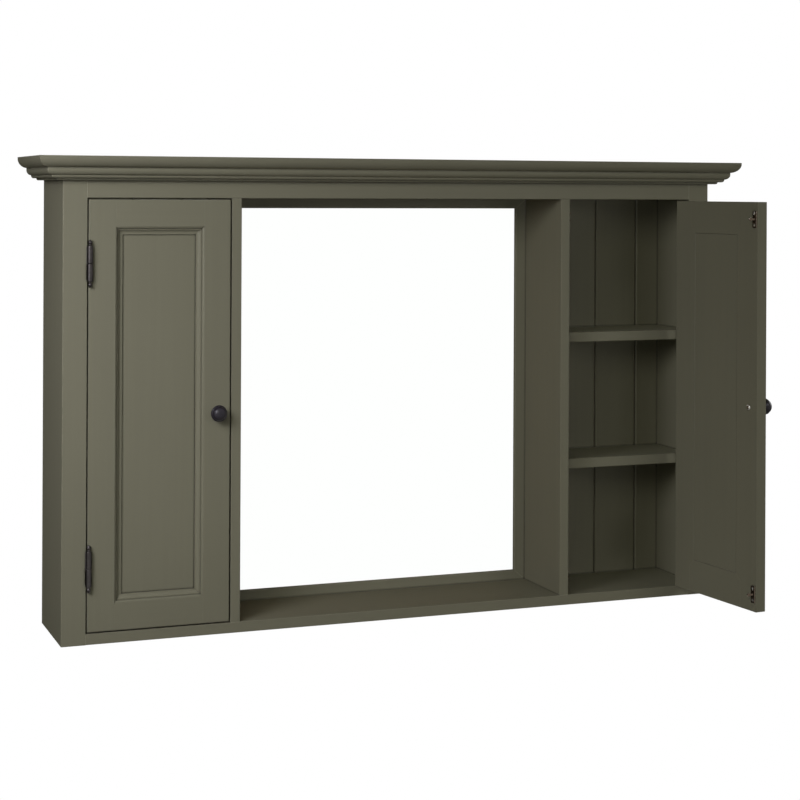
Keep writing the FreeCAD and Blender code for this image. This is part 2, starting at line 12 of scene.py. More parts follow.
import bmesh
import bpy
from mathutils import Matrix, Vector


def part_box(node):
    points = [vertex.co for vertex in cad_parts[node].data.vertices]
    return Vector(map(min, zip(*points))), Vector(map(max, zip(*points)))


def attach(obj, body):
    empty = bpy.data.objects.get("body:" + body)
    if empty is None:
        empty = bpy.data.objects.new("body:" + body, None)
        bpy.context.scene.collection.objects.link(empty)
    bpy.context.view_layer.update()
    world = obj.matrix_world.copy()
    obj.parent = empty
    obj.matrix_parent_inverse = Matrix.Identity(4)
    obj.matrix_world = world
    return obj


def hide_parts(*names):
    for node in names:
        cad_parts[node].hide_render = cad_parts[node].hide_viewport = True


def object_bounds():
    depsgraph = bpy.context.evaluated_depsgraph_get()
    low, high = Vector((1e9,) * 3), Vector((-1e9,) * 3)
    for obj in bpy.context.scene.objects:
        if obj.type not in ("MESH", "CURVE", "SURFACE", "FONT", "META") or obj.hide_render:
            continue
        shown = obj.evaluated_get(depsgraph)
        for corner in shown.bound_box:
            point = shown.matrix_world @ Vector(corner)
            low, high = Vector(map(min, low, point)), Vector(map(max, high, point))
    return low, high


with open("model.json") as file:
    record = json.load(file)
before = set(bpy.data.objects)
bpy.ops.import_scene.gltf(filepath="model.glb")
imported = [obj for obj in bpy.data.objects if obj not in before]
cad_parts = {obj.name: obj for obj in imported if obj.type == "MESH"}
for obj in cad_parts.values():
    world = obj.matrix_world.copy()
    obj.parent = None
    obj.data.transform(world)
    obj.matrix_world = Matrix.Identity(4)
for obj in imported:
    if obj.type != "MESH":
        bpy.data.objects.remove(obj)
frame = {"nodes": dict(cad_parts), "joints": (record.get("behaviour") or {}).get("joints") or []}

MM = 0.001
solid_box = [list(corner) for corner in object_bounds()]
nodes = frame["nodes"]
joints = {joint["name"]: joint for joint in frame["joints"]}
print("nodes:", len(nodes), "box:", solid_box)

# %% [markdown]
# ## The camera first
# The cabinet was seen from the left, with the camera level and almost at the height of the
# cornice, so every upright edge stays upright. The picture then has to slide down to hold
# the whole cabinet, and a vertical shift of the lens does that without any tilt. The values
# come from fitting a camera to the edges of the cabinet.

# %% Place the camera
CAMERA_PLACE = (-1.1461, -3.1548, 0.0025)
CAMERA_YAW = math.radians(-20.85)
CAMERA_ROLL = math.radians(-0.27)
CAMERA_LENS_MM = 82.23
CAMERA_SENSOR_MM = 36.0
CAMERA_SHIFT = -0.2604
CAMERA_REACH = 50.0

bpy.ops.object.select_all(action="DESELECT")
bpy.ops.object.camera_add(location=CAMERA_PLACE,
                          rotation=(math.pi / 2, CAMERA_ROLL, CAMERA_YAW))
camera = bpy.context.object
camera.name = "picture_camera"
camera.data.lens = CAMERA_LENS_MM
camera.data.sensor_width = CAMERA_SENSOR_MM
camera.data.shift_y = CAMERA_SHIFT
camera.data.clip_end = CAMERA_REACH
bpy.context.scene.camera = camera
print("camera at", [round(v, 3) for v in camera.location])

# %% [markdown]
# ## Helpers for finishes
# A colour is picked on screen as a hex value, while the shader works with linear light, so
# one function converts it. A second function adds a node, sets its values and links its
# inputs, so that each finish below reads from top to bottom like a recipe. Two more start an
# empty finish and put a finished one on the solids.

# %% Colour helper
def linear(hex_colour):
    """Linear RGBA of an sRGB hex colour."""
    channels = [int(hex_colour[i:i + 2], 16) / 255 for i in (1, 3, 5)]
    return [c / 12.92 if c <= 0.04045 else ((c + 0.055) / 1.055) ** 2.4
            for c in channels] + [1.0]


print("middle grey in linear light:", round(linear("#808080")[0], 3))

# %% Node helpers
def add(tree, kind, values=None, links=None, **settings):
    """Add a node; values fill its inputs, links join its inputs to other nodes' outputs."""
    node = tree.nodes.new(kind)
    for name, value in settings.items():
        setattr(node, name, value)
    for name, value in (values or {}).items():
        node.inputs[name].default_value = value
    for name, source in (links or {}).items():
        tree.links.new(source, node.inputs[name])
    return node


def new_finish(name):
    """An empty material with its output node, ready for a recipe."""
    material = bpy.data.materials.new(name)
    material.use_nodes = True
    material.node_tree.nodes.clear()
    output = add(material.node_tree, "ShaderNodeOutputMaterial")
    return material, material.node_tree, output


def paint_nodes(names, material):
    """Give solids a finish, in every material slot that they have."""
    for name in names:
        for slot in nodes[name].material_slots:
            slot.material = material
    print(material.name, "on", len(names), "nodes")


# %% [markdown]
# ## Satin paint on wood
# The whole cabinet is painted in one olive green-grey, rolled and then brushed out along
# each board. Three things give that away on the real surface: long shallow brush marks that
# follow the board, the faint swell of the grain under the film, and slightly thinner, paler
# paint on the arrises. The recipe also paints a highlight onto the arrises and painted shade
# into the joints and gaps. The marks are noise stretched along the grain, and since boards
# run upright, lengthwise and from front to back, the recipe takes the direction as an argument.
#
# The Bevel node rounds the normal near sharp edges, as a paint film does, and where that
# normal leaves the true one there is an edge, which becomes the mask for the paler arris:
# partly thinner paint, partly a painted highlight. The Ambient Occlusion node tells how shut
# in a place is, and darkens the joints and gaps with painted shade. The doors' stiles and
# rails are painted over where they meet, so their arrises hardly show.

# %% The paint's colours and sizes
PAINT_COLOUR = "#73715E"
PAINT_SHADE = "#6D6B59"
# The arris colour: thinner paint, made paler still as a painted highlight
PAINT_THIN_AND_HIGHLIGHT = "#A29E89"
PAINT_IOR = 1.48
PAINT_SPECULAR = 0.17
PAINT_ROUGH = (0.36, 0.46)
ARRIS_MM = 0.9
# How strongly free arrises and the doors' arrises take that pale colour of thin paint and
# painted highlight
ARRIS_WEAR_AND_HIGHLIGHT = 0.8
DOOR_WEAR_AND_HIGHLIGHT = 0.2
JOINT_MM = 4.0
# The darkest factor of the painted shade in joints, quirks and gaps
JOINT_SHADE_FACTOR = 0.3
CLOUD_MM = 260.0
GRAIN_WIDTH_MM = 9.0
GRAIN_LENGTH_MM = 420.0
GRAIN_DEPTH_MM = 0.05
GRAIN_TONE = 0.012
# Real brush marks are about a third as wide, which is too fine to show in the picture
BRUSH_WIDTH_MM = 1.6
BRUSH_LENGTH_MM = 60.0
BRUSH_DEPTH_MM = 0.04
EDGE_SAMPLES = 6
print("paint in linear light:", [round(c, 3) for c in linear(PAINT_COLOUR)])

# %% Marks along the grain, and arrises
def stretched(tree, place, along, across_mm, along_mm, turn=0.0):
    """Coordinates that count a mark's width across the grain and its length along it."""
    scale = [1 / (across_mm * MM)] * 3
    scale["xyz".index(along)] = 1 / (along_mm * MM)
    turned = add(tree, "ShaderNodeMapping", {"Rotation": (0, 0, turn)}, {"Vector": place})
    marks = add(tree, "ShaderNodeMapping", {"Scale": scale}, {"Vector": turned.outputs[0]})
    return marks.outputs[0]


def arris(tree, width_mm):
    """The normal rounded over an edge, and how far it still agrees with the true one."""
    rounded = add(tree, "ShaderNodeBevel", {"Radius": width_mm * MM}, samples=EDGE_SAMPLES)
    true = add(tree, "ShaderNodeNewGeometry")
    agreed = add(tree, "ShaderNodeVectorMath", {},
                 {0: rounded.outputs[0], 1: true.outputs["Normal"]}, operation="DOT_PRODUCT")
    return rounded.outputs[0], agreed.outputs["Value"]


# %% The paint recipe
def satin_paint(name, along, turn=0.0, rubbed=ARRIS_WEAR_AND_HIGHLIGHT):
    """Brushed satin paint with marks along one axis; rubbed sets how strong the pale arris is,
    which is thin paint and a painted highlight.
    """
    material, tree, output = new_finish(name)
    place = add(tree, "ShaderNodeTexCoord").outputs["Object"]
    brush_at = stretched(tree, place, along, BRUSH_WIDTH_MM, BRUSH_LENGTH_MM, turn)
    grain_at = stretched(tree, place, along, GRAIN_WIDTH_MM, GRAIN_LENGTH_MM, turn)
    brush = add(tree, "ShaderNodeTexNoise", {"Scale": 1.0, "Detail": 4.0}, {"Vector": brush_at})
    grain = add(tree, "ShaderNodeTexNoise", {"Scale": 1.0, "Detail": 3.0, "Distortion": 0.6},
                {"Vector": grain_at})
    cloud = add(tree, "ShaderNodeTexNoise", {"Scale": 1 / (CLOUD_MM * MM), "Detail": 2.0},
                {"Vector": place})

    # An arris turns the rounded normal away from the true one; this mask carries the thin paint
    # and the painted highlight
    rounded, agreed = arris(tree, ARRIS_MM)
    turned = add(tree, "ShaderNodeMapRange",
                 {"From Min": 0.99, "From Max": 0.80, "To Max": rubbed}, {"Value": agreed})
    # Near a joint, gap or quirk the AO value drops: there the arris gets no painted highlight,
    # and painted shade darkens the colour
    clear = add(tree, "ShaderNodeAmbientOcclusion", {"Distance": JOINT_MM * MM},
                samples=EDGE_SAMPLES).outputs["AO"]
    proud = add(tree, "ShaderNodeMapRange", {"From Min": 0.75, "From Max": 0.95},
                {"Value": clear})
    # Where the pale arris of thin paint and painted highlight goes, kept out of joints and gaps
    edge = add(tree, "ShaderNodeMath", {}, {0: turned.outputs[0], 1: proud.outputs[0]},
               operation="MULTIPLY")
    # Painted shade: the colour is darkened where the AO finds a joint, quirk or gap
    painted_joint_shade = add(tree, "ShaderNodeMapRange",
                 {"From Min": 0.40, "From Max": 0.90, "To Min": JOINT_SHADE_FACTOR, "To Max": 1.0},
                 {"Value": clear})

    # Colour: a slow cloud of darker tone, then grain and painted shade in the joints, then the
    # paler arris with its painted highlight
    mottled = add(tree, "ShaderNodeMix", {"A": linear(PAINT_COLOUR), "B": linear(PAINT_SHADE)},
                  {"Factor": cloud.outputs["Fac"]}, data_type="RGBA")
    streak = add(tree, "ShaderNodeMapRange",
                 {"From Min": 0.35, "From Max": 0.65,
                  "To Min": 1 - GRAIN_TONE, "To Max": 1 + GRAIN_TONE},
                 {"Value": grain.outputs["Fac"]})
    # Grain streaks times the painted shade of the joints
    tone = add(tree, "ShaderNodeMath", {}, {0: streak.outputs[0], 1: painted_joint_shade.outputs[0]},
               operation="MULTIPLY")
    grained = add(tree, "ShaderNodeVectorMath", {},
                  {0: mottled.outputs["Result"], "Scale": tone.outputs[0]}, operation="SCALE")
    # Mix in the pale arris: thinner paint and a painted highlight
    coloured = add(tree, "ShaderNodeMix", {"B": linear(PAINT_THIN_AND_HIGHLIGHT)},
                   {"Factor": edge.outputs[0], "A": grained.outputs[0]}, data_type="RGBA")

    # Relief: grain below, brush marks on top, both a few hundredths of a millimetre deep
    swell = add(tree, "ShaderNodeBump", {"Strength": 0.20, "Distance": GRAIN_DEPTH_MM * MM},
                {"Height": grain.outputs["Fac"], "Normal": rounded})
    marks = add(tree, "ShaderNodeBump", {"Strength": 0.15, "Distance": BRUSH_DEPTH_MM * MM},
                {"Height": brush.outputs["Fac"], "Normal": swell.outputs[0]})
    gloss = add(tree, "ShaderNodeMapRange",
                {"To Min": PAINT_ROUGH[0], "To Max": PAINT_ROUGH[1]},
                {"Value": brush.outputs["Fac"]})
    film = add(tree, "ShaderNodeBsdfPrincipled",
               {"IOR": PAINT_IOR, "Specular IOR Level": PAINT_SPECULAR},
               {"Base Color": coloured.outputs["Result"], "Roughness": gloss.outputs[0],
                "Normal": marks.outputs[0]})
    tree.links.new(film.outputs[0], output.inputs[0])
    return material


# %% Paint every board along its own grain
door_open = math.radians(-joints["right_door_hinge"]["range_deg"][0])
upright_kinds = ("side_panel", "partition", "face_stile", "back_board")
uprights = [n for n in nodes if n.startswith(upright_kinds)]
uprights += ["left_door_panel", "right_door_panel", "mirror_bead_left", "mirror_bead_right"]
lengthwise = ["bottom_board", "top_board", "frieze_rail", "cornice_cap", "cornice_bed_front"]
lengthwise += ["mirror_bead_top", "mirror_bead_bottom"]
lengthwise += [n for n in nodes if n.startswith("shelf_")]
returns = ["cornice_bed_left", "cornice_bed_right"]
door_stiles = [n for n in nodes if n.endswith("_stile")]
shut_rails = ["left_door_top_rail", "left_door_bottom_rail"]
open_rails = ["right_door_top_rail", "right_door_bottom_rail"]

paint_nodes(uprights, satin_paint("satin_paint_upright", "z"))
paint_nodes(lengthwise, satin_paint("satin_paint_lengthwise", "x"))
paint_nodes(returns, satin_paint("satin_paint_return", "y"))
paint_nodes(door_stiles, satin_paint("satin_paint_door_stiles", "z", rubbed=DOOR_WEAR_AND_HIGHLIGHT))
paint_nodes(shut_rails, satin_paint("satin_paint_shut_door_rails", "x", rubbed=DOOR_WEAR_AND_HIGHLIGHT))
paint_nodes(open_rails, satin_paint("satin_paint_open_door_rails", "x", -door_open, DOOR_WEAR_AND_HIGHLIGHT))

# %% [markdown]
# ## Bare wood at the back
# What nobody sees stays unpainted: the hanging rail is planed pine, and the board behind
# the mirror is plywood. Pine shows broad pale bands between narrow darker lines of late
# wood. A wave texture pulled along the grain and bent by noise gives those bands.

# %% Planed pine and birch plywood
PINE_PALE = "#D9BE94"
PINE_LATE = "#CBAA7C"
PINE_RING_MM = 7.0
PLY_PALE = "#D8C4A0"
PLY_DARK = "#C4AA80"
PLY_FLECK_MM = 3.0
RING_LENGTHS = 40
FIBRE_WIDTH_MM = 0.5
FIBRE_LENGTH_MM = 25.0
FIBRE_DEPTH_MM = 0.1
PLANED_ROUGH = (0.62, 0.78)


def planed_wood(name, along, pale, dark, ring_mm, bend):
    """Unfinished wood with growth bands along one axis."""
    material, tree, output = new_finish(name)
    place = add(tree, "ShaderNodeTexCoord").outputs["Object"]
    bands_at = stretched(tree, place, along, ring_mm, ring_mm * RING_LENGTHS)
    fibre_at = stretched(tree, place, along, FIBRE_WIDTH_MM, FIBRE_LENGTH_MM)
    bands = add(tree, "ShaderNodeTexWave",
                {"Scale": 0.32, "Distortion": bend, "Detail": 2.0, "Detail Scale": 1.2},
                {"Vector": bands_at}, bands_direction="DIAGONAL", wave_profile="SAW")
    fibre = add(tree, "ShaderNodeTexNoise", {"Scale": 1.0, "Detail": 3.0}, {"Vector": fibre_at})
    colour = add(tree, "ShaderNodeMix", {"A": linear(pale), "B": linear(dark)},
                 {"Factor": bands.outputs["Fac"]}, data_type="RGBA")
    relief = add(tree, "ShaderNodeBump", {"Strength": 0.4, "Distance": FIBRE_DEPTH_MM * MM},
                 {"Height": fibre.outputs["Fac"]})
    dry = add(tree, "ShaderNodeMapRange",
              {"To Min": PLANED_ROUGH[0], "To Max": PLANED_ROUGH[1]},
              {"Value": fibre.outputs["Fac"]})
    wood = add(tree, "ShaderNodeBsdfPrincipled", {},
               {"Base Color": colour.outputs["Result"], "Roughness": dry.outputs[0],
                "Normal": relief.outputs[0]})
    tree.links.new(wood.outputs[0], output.inputs[0])
    return material


pine = planed_wood("planed_pine", "x", PINE_PALE, PINE_LATE, PINE_RING_MM, bend=5.0)
plywood = planed_wood("birch_plywood", "z", PLY_PALE, PLY_DARK, PLY_FLECK_MM, bend=5.0)
paint_nodes(["hanging_rail"], pine)
paint_nodes(["mirror_backing"], plywood)

# %% [markdown]
# ## Silvered glass
# A mirror is a sheet of float glass with silver on its back. What reaches the eye is almost
# only the reflection, so a smooth metal with the faint green of the glass is enough. A clean
# mirror still carries a trace of wiping, which is a very small change of roughness.

# %% The mirror's finish
SILVER_COLOUR = "#FEFFFE"
WIPE_MM = 90.0
WIPE_ROUGH = (0.004, 0.02)


def silvered_glass(name):
    """Mirror silver seen through clear glass."""
    material, tree, output = new_finish(name)
    place = add(tree, "ShaderNodeTexCoord").outputs["Object"]
    wipe = add(tree, "ShaderNodeTexNoise",
               {"Scale": 1 / (WIPE_MM * MM), "Detail": 4.0, "Distortion": 1.2},
               {"Vector": place})
    haze = add(tree, "ShaderNodeMapRange",
               {"From Min": 0.45, "From Max": 0.75,
                "To Min": WIPE_ROUGH[0], "To Max": WIPE_ROUGH[1]},
               {"Value": wipe.outputs["Fac"]})
    silver = add(tree, "ShaderNodeBsdfPrincipled",
                 {"Base Color": linear(SILVER_COLOUR), "Metallic": 1.0},
                 {"Roughness": haze.outputs[0]})
    tree.links.new(silver.outputs[0], output.inputs[0])
    return material


paint_nodes(["mirror_glass"], silvered_glass("silvered_float_glass"))

# %% [markdown]
# ## Ironwork
# The hinges are steel blackened in hot oil, the catches are bronzed sheet steel and the
# screws are zinc plated. All three are metals whose thin coat is rubbed brighter on the
# edges that hands and tools touch. One recipe serves them: a coat, the metal that shows
# through it, and a noise for the cloudy tone that such coats have.

# %% The ironwork recipe
COAT_ROUGH_SPAN = 0.08
COAT_TONE = 0.2
PIT_DEPTH_MM = 0.04


def coated_metal(name, coat, bare, rough, cloud_mm, edge_mm, wear):
    """Metal under a thin coat, brighter where an edge has been rubbed."""
    material, tree, output = new_finish(name)
    place = add(tree, "ShaderNodeTexCoord").outputs["Object"]
    cloud = add(tree, "ShaderNodeTexNoise", {"Scale": 1 / (cloud_mm * MM), "Detail": 5.0},
                {"Vector": place}).outputs["Fac"]
    rounded, agreed = arris(tree, edge_mm)
    rubbed = add(tree, "ShaderNodeMapRange",
                 {"From Min": 0.98, "From Max": 0.75, "To Max": wear}, {"Value": agreed})
    tone = add(tree, "ShaderNodeMapRange",
               {"From Min": 0.3, "From Max": 0.7,
                "To Min": 1 - COAT_TONE, "To Max": 1 + COAT_TONE}, {"Value": cloud})
    clouded = add(tree, "ShaderNodeVectorMath", {0: linear(coat)[:3]},
                  {"Scale": tone.outputs[0]}, operation="SCALE")
    colour = add(tree, "ShaderNodeMix", {"B": linear(bare)},
                 {"Factor": rubbed.outputs[0], "A": clouded.outputs[0]}, data_type="RGBA")
    gloss = add(tree, "ShaderNodeMapRange",
                {"To Min": rough - COAT_ROUGH_SPAN, "To Max": rough + COAT_ROUGH_SPAN},
                {"Value": cloud})
    pits = add(tree, "ShaderNodeBump", {"Strength": 0.25, "Distance": PIT_DEPTH_MM * MM},
               {"Height": cloud, "Normal": rounded})
    metal = add(tree, "ShaderNodeBsdfPrincipled", {"Metallic": 1.0},
                {"Base Color": colour.outputs["Result"], "Roughness": gloss.outputs[0],
                 "Normal": pits.outputs[0]})
    tree.links.new(metal.outputs[0], output.inputs[0])
    return material


# %% Three coats
blackened_steel = coated_metal("oil_blackened_steel", "#3C3938", "#8A8580",
                               rough=0.38, cloud_mm=4.0, edge_mm=0.4, wear=0.4)
bronzed_steel = coated_metal("bronzed_sheet_steel", "#54493E", "#978A78",
                             rough=0.38, cloud_mm=3.0, edge_mm=0.3, wear=0.7)
zinc_plate = coated_metal("zinc_plated_steel", "#B9B6AE", "#D8D6D0",
                          rough=0.32, cloud_mm=5.0, edge_mm=0.3, wear=0.4)
paint_nodes(["hinge_pins"], blackened_steel)
paint_nodes(["catch_clips", "left_door_strikes", "right_door_strikes"], bronzed_steel)
paint_nodes(["left_door_knob_screw", "right_door_knob_screw", "hanger_plates"], zinc_plate)

# %% [markdown]
# ## A countersunk wood screw
# Twenty screws hold the hinges, catches and hangers to the cabinet, and eight more sit in
# each door. The solids show them as plain pegs, while the eye looks for the cross recess in
# the head. One screw is modelled: a cylinder makes the head, its under side is drawn in to
# the countersink, the shank is extruded from there, and a tapered bar cuts the recess twice.
# The screw stands at the origin with its tip down, so that a copy only has to be turned to
# its heading and moved to its place.

# %% Helpers to pick a piece or its faces
END_FACE = 0.9


def only(piece):
    """Select one piece and make it the active one."""
    bpy.ops.object.select_all(action="DESELECT")
    piece.select_set(True)
    bpy.context.view_layer.objects.active = piece


def discard(piece):
    """Delete a model that has been copied or used up."""
    only(piece)
    bpy.ops.object.delete()


def pick_faces(test):
    """In edit mode, select the faces whose centre and normal pass a test."""
    bpy.ops.mesh.select_mode(type="FACE")
    bpy.ops.mesh.select_all(action="DESELECT")
    mesh = bmesh.from_edit_mesh(bpy.context.object.data)
    for face in mesh.faces:
        face.select_set(test(face.calc_center_median(), face.normal))
    bmesh.update_edit_mesh(bpy.context.object.data)


def top_end(centre, normal):
    """A test for faces that look up."""
    return normal.z > END_FACE


def bottom_end(centre, normal):
    """A test for faces that look down."""
    return normal.z < -END_FACE


# %% Helpers to shape a piece
MERGE_MM = 0.002
SMOOTH_ANGLE = math.radians(38)


def disc(sides, radius_mm, low_mm, high_mm):
    """A cylinder on the Z axis between two heights, the start of a turned piece."""
    bpy.ops.object.select_all(action="DESELECT")
    bpy.ops.mesh.primitive_cylinder_add(
        vertices=sides, radius=radius_mm * MM, depth=(high_mm - low_mm) * MM,
        location=(0, 0, (low_mm + high_mm) / 2 * MM))
    bpy.ops.object.transform_apply(location=True, rotation=False, scale=False)
    return bpy.context.object


def draw_out(rings):
    """Extrude the picked end face ring by ring; a ring is (radius, height) in mm."""
    mesh = bmesh.from_edit_mesh(bpy.context.object.data)
    corner = next(v for v in mesh.verts if v.select).co
    radius, height = corner.xy.length / MM, corner.z / MM
    for next_radius, next_height in rings:
        rise = (0, 0, (next_height - height) * MM)
        bpy.ops.mesh.extrude_region_move(TRANSFORM_OT_translate={"value": rise})
        shrink = next_radius / radius
        bpy.ops.transform.resize(value=(shrink, shrink, 1),
                                 center_override=(0, 0, next_height * MM))
        radius, height = next_radius, next_height


def cut(piece, tool):
    """Cut the shape of a tool out of a piece."""
    only(piece)
    change = piece.modifiers.new("cut", "BOOLEAN")
    change.operation = "DIFFERENCE"
    change.object = tool
    bpy.ops.object.modifier_apply(modifier=change.name)


def clean_up(piece, name, material):
    """Merge doubles, turn all faces outwards, smooth the round parts and give the finish."""
    only(piece)
    bpy.ops.object.mode_set(mode="EDIT")
    bpy.ops.mesh.select_all(action="SELECT")
    bpy.ops.mesh.remove_doubles(threshold=MERGE_MM * MM)
    bpy.ops.mesh.normals_make_consistent(inside=False)
    bpy.ops.object.mode_set(mode="OBJECT")
    bpy.ops.object.shade_smooth_by_angle(angle=SMOOTH_ANGLE)
    piece.name = piece.data.name = name
    piece.data.materials.clear()
    piece.data.materials.append(material)


# %% Draw out one screw
SCREW_SIDES = 32
HEAD_RADIUS_MM = 3.0
HEAD_RIM_MM = 0.3
HEAD_DEPTH_MM = 1.3
SHANK_RADIUS_MM = 1.4
SCREW_LENGTH_MM = 9.5
TIP_LENGTH_MM = 1.0
TIP_RADIUS_MM = 0.4

screw = disc(SCREW_SIDES, HEAD_RADIUS_MM, -HEAD_RIM_MM, 0)
bpy.ops.object.mode_set(mode="EDIT")
pick_faces(bottom_end)
draw_out([(SHANK_RADIUS_MM, -HEAD_DEPTH_MM),
          (SHANK_RADIUS_MM, TIP_LENGTH_MM - SCREW_LENGTH_MM),
          (TIP_RADIUS_MM, -SCREW_LENGTH_MM)])
bpy.ops.object.mode_set(mode="OBJECT")
print("screw before its recess:", len(screw.data.polygons), "faces")

# %% Cut the cross recess
RECESS_LENGTH_MM = 3.4
RECESS_WIDTH_MM = 0.8
RECESS_DEPTH_MM = 1.0
RECESS_TAPER = (0.4, 0.6, 1)

bpy.ops.object.select_all(action="DESELECT")
bar_size = (RECESS_LENGTH_MM * MM, RECESS_WIDTH_MM * MM, 2 * RECESS_DEPTH_MM * MM)
bpy.ops.mesh.primitive_cube_add(size=1, scale=bar_size)
bar = bpy.context.object
bpy.ops.object.transform_apply(location=False, rotation=False, scale=True)
bpy.ops.object.mode_set(mode="EDIT")
pick_faces(bottom_end)
bpy.ops.transform.resize(value=RECESS_TAPER, center_override=(0, 0, -RECESS_DEPTH_MM * MM))
bpy.ops.object.mode_set(mode="OBJECT")
for turn in (0.0, math.pi / 2):
    bar.rotation_euler.z = turn
    bpy.context.view_layer.update()
    cut(screw, bar)
discard(bar)
clean_up(screw, "cross_head_screw", zinc_plate)
print("one screw:", len(screw.data.polygons), "faces")

# %% [markdown]
# ## Drive the screws home
# Every screw has a place and a heading. The places come from the cabinet's own drawing, in
# millimetres, and are the same left and right of the middle. The right door stands open, so
# its screws turn with it about the hinge axis. The copies of one body are joined to one
# piece, because that body carries them as one group.

# %% Where the screws sit
LEAF_SCREW_Y = -171.5
CLIP_SCREW = (316.5, -148.5)
STRIKE_SCREW = (325.4, -158.5)
FRAME_LEAF_X = 559.6
DOOR_LEAF_X = 558.0
HANGER_X = 480.0
HANGER_SCREW_STEP = 21.0
LEAF_SCREW_STEP = 17.0
CLIP_SCREW_STEP = 15.0
STRIKE_SCREW_STEP = 10.0
CATCH_HEIGHTS = (-691.6, -42.4)
pins_low, pins_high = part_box("hinge_pins")
PIN_HALF_LENGTH = 20.0
HINGE_HEIGHTS = (pins_low.z / MM + PIN_HALF_LENGTH, pins_high.z / MM - PIN_HALF_LENGTH)
print("hinges at", HINGE_HEIGHTS)


def pairs(heights, step):
    """Two screw heights round each of the heights."""
    return [height + sign * step for height in heights for sign in (-1, 1)]


def cabinet_places(side):
    """Places and headings of one side's screws: hinge leaves, catch clips, hanger."""
    leaves = [((side * FRAME_LEAF_X, LEAF_SCREW_Y, z), (side, 0, 0))
              for z in pairs(HINGE_HEIGHTS, LEAF_SCREW_STEP)]
    clips = [((side * CLIP_SCREW[0], CLIP_SCREW[1], z), (-side, 0, 0))
             for z in pairs(CATCH_HEIGHTS, CLIP_SCREW_STEP)]
    hanger = [((side * HANGER_X + step * HANGER_SCREW_STEP, 0, 0), (0, -1, 0))
              for step in (-1, 1)]
    return leaves + clips + hanger


def door_places(side):
    """Places and headings of one closed door's screws: hinge leaves, catch strikes."""
    leaves = [((side * DOOR_LEAF_X, LEAF_SCREW_Y, z), (-side, 0, 0))
              for z in pairs(HINGE_HEIGHTS, LEAF_SCREW_STEP)]
    strikes = [((side * STRIKE_SCREW[0], STRIKE_SCREW[1], z), (0, -1, 0))
               for z in pairs(CATCH_HEIGHTS, STRIKE_SCREW_STEP)]
    return leaves + strikes


# %% Copies that ride on a body
def copied(model, place, turn):
    """A copy with its own mesh, turned, moved and applied there."""
    only(model)
    bpy.ops.object.duplicate()
    copy = bpy.context.object
    copy.matrix_world = place @ turn
    bpy.ops.object.transform_apply(location=True, rotation=True, scale=True)
    return copy


def joined(copies, name, body, node):
    """Join copies to one piece that stands for a solid and rides on a body."""
    only(copies[0])
    for copy in copies:
        copy.select_set(True)
    bpy.ops.object.join()
    piece = bpy.context.object
    piece.name = piece.data.name = name
    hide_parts(node)
    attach(piece, body)
    print(name, "made of", len(copies), "copies")


# %% Drive every screw
SCREW_TURN = 0.7
UNMOVED = Matrix.Identity(4)
axis = Vector((joints["right_door_hinge"]["pos_m"]))
axis.z = 0
swing = Matrix.Rotation(door_open, 4, "Z")
opened = Matrix.Translation(axis) @ swing @ Matrix.Translation(-axis)


def drive(places, name, body, node, moved=UNMOVED):
    """Drive a screw at every place, each turned a little further than the last."""
    copies = []
    for count, (point, heading) in enumerate(places):
        aimed = Vector(heading).to_track_quat("-Z", "Y").to_matrix().to_4x4()
        place = moved @ Matrix.Translation(Vector(point) * MM)
        copies.append(copied(screw, place, aimed @ Matrix.Rotation(SCREW_TURN * count, 4, "Z")))
    joined(copies, name, body, node)


drive(cabinet_places(-1) + cabinet_places(1), "cabinet_screws", "cabinet", "wood_screws")
drive(door_places(-1), "left_door_wood_screws", "left_door", "left_door_screws")
drive(door_places(1), "right_door_wood_screws", "right_door", "right_door_screws", opened)
discard(screw)

# %% [markdown]
# ## Hinges with turned finials
# Each hinge is a pair of rolled steel leaves. The cabinet's leaf carries the lower knuckle
# and the door's leaf the upper one, and each knuckle ends in a small turned finial: a collar,
# a neck, a ball and a tip. The knuckle begins as a cylinder whose end face is drawn out ring
# by ring, as a turner would work down the profile. Its other end is drawn in a little, which
# leaves a groove where the two knuckles meet. The leaf is a thin bar; a cut across its middle
# leaves a face at the knuckle's half, and that face is extruded forward to become the tab
# that wraps round the pin. Joining the two makes one piece of them.

# %% Turn a knuckle with its finial
KNUCKLE_SIDES = 40
KNUCKLE_RADIUS_MM = 4.8
KNUCKLE_START_MM = 0.15
BARREL_LOW_MM = 1.6
BARREL_HIGH_MM = 27.6
GROOVE_RINGS = [(4.80, 1.25), (4.70, 0.95), (4.30, 0.60), (3.70, KNUCKLE_START_MM)]
FINIAL_RINGS = [(4.80, 28.00), (4.75, 28.30), (4.55, 28.50), (4.20, 28.65), (3.85, 28.75),
                (3.85, 29.45), (3.55, 29.70), (2.75, 30.10), (2.30, 30.75), (2.20, 31.40),
                (2.35, 31.95), (2.85, 32.50), (3.35, 33.25), (3.60, 34.20), (3.60, 34.90),
                (3.35, 35.85), (2.85, 36.65), (2.35, 37.20), (2.15, 37.60), (1.95, 38.20),
                (1.50, 38.90), (0.90, 39.45), (0.30, 39.64)]


def turned_knuckle(upper):
    """A knuckle on the pin's axis; upper is 1 for the door's and -1 for the cabinet's."""
    knuckle = disc(KNUCKLE_SIDES, KNUCKLE_RADIUS_MM, BARREL_LOW_MM, BARREL_HIGH_MM)
    bpy.ops.object.mode_set(mode="EDIT")
    pick_faces(top_end)
    draw_out(FINIAL_RINGS)
    pick_faces(bottom_end)
    draw_out(GROOVE_RINGS)
    bpy.ops.object.mode_set(mode="OBJECT")
    if upper < 0:
        knuckle.rotation_euler.x = math.pi
        bpy.ops.object.transform_apply(location=False, rotation=True, scale=False)
    return knuckle


# %% Bend a leaf and join the two
LEAF_THICKNESS_MM = 1.5
LEAF_START_MM = 5.2
LEAF_WIDTH_MM = 17.0
LEAF_HALF_HEIGHT_MM = 27.65
LEAF_SOFTENED_MM = 0.2
FRAME_LEAF_OFFSET_MM = 3.3
DOOR_LEAF_OFFSET_MM = 0.2


